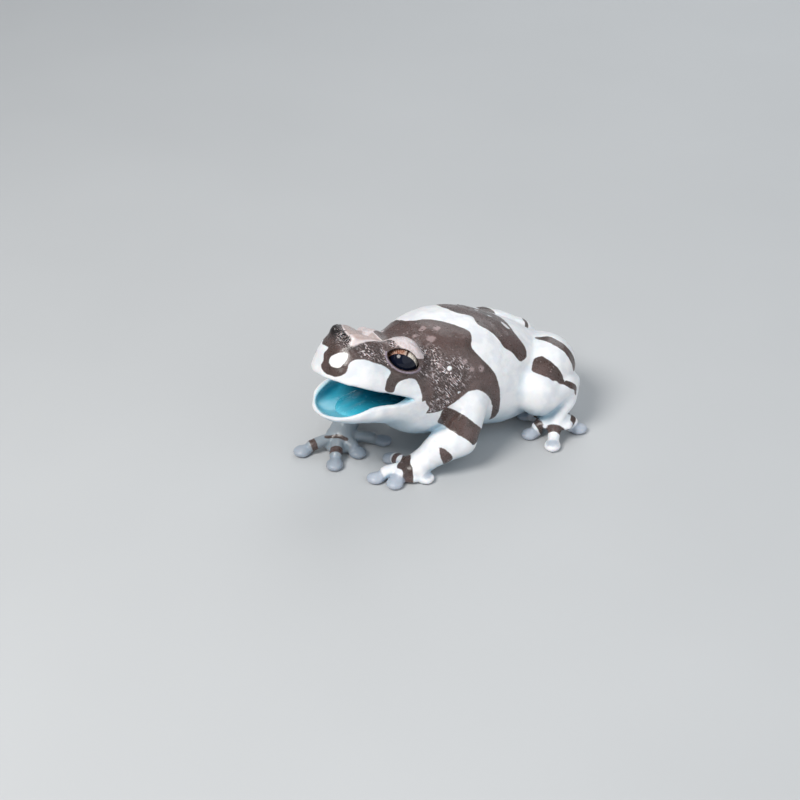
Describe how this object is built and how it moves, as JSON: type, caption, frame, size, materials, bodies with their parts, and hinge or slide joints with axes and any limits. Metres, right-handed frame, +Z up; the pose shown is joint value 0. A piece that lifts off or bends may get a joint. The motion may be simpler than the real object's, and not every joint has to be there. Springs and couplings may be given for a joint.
{
  "type": "amazon milk frog",
  "caption": "Life-size amazon milk frog crouched on the floor, head raised and mouth open, with banded milky skin and round pads on its fingers and toes.",
  "frame": {"origin": "on the floor plane, at the middle of the bounding box seen from above", "axes": "the frog faces -Y, its left side is +X, and +Z is up"},
  "size_m": [0.0446, 0.0606, 0.0312],
  "materials": {
    "skin": "moist",
    "eye": "polished",
    "tongue": "wet"
  },
  "bodies": {
    "root": {"eye_left": "eye", "eye_right": "eye", "finger_left_1": "skin", "finger_left_2": "skin", "finger_left_3": "skin", "finger_left_4": "skin", "finger_right_1": "skin", "finger_right_2": "skin", "finger_right_3": "skin", "finger_right_4": "skin", "foot_left": "skin", "foot_right": "skin", "forearm_left": "skin", "forearm_right": "skin", "hand_left": "skin", "hand_right": "skin", "head": "skin", "lower_jaw": "skin", "shank_left": "skin", "shank_right": "skin", "thigh_left": "skin", "thigh_right": "skin", "toe_left_1": "skin", "toe_left_2": "skin", "toe_left_3": "skin", "toe_left_4": "skin", "toe_left_5": "skin", "toe_right_1": "skin", "toe_right_2": "skin", "toe_right_3": "skin", "toe_right_4": "skin", "toe_right_5": "skin", "tongue": "tongue", "trunk": "skin", "upper_arm_left": "skin", "upper_arm_right": "skin"}
  },
  "joints": []
}
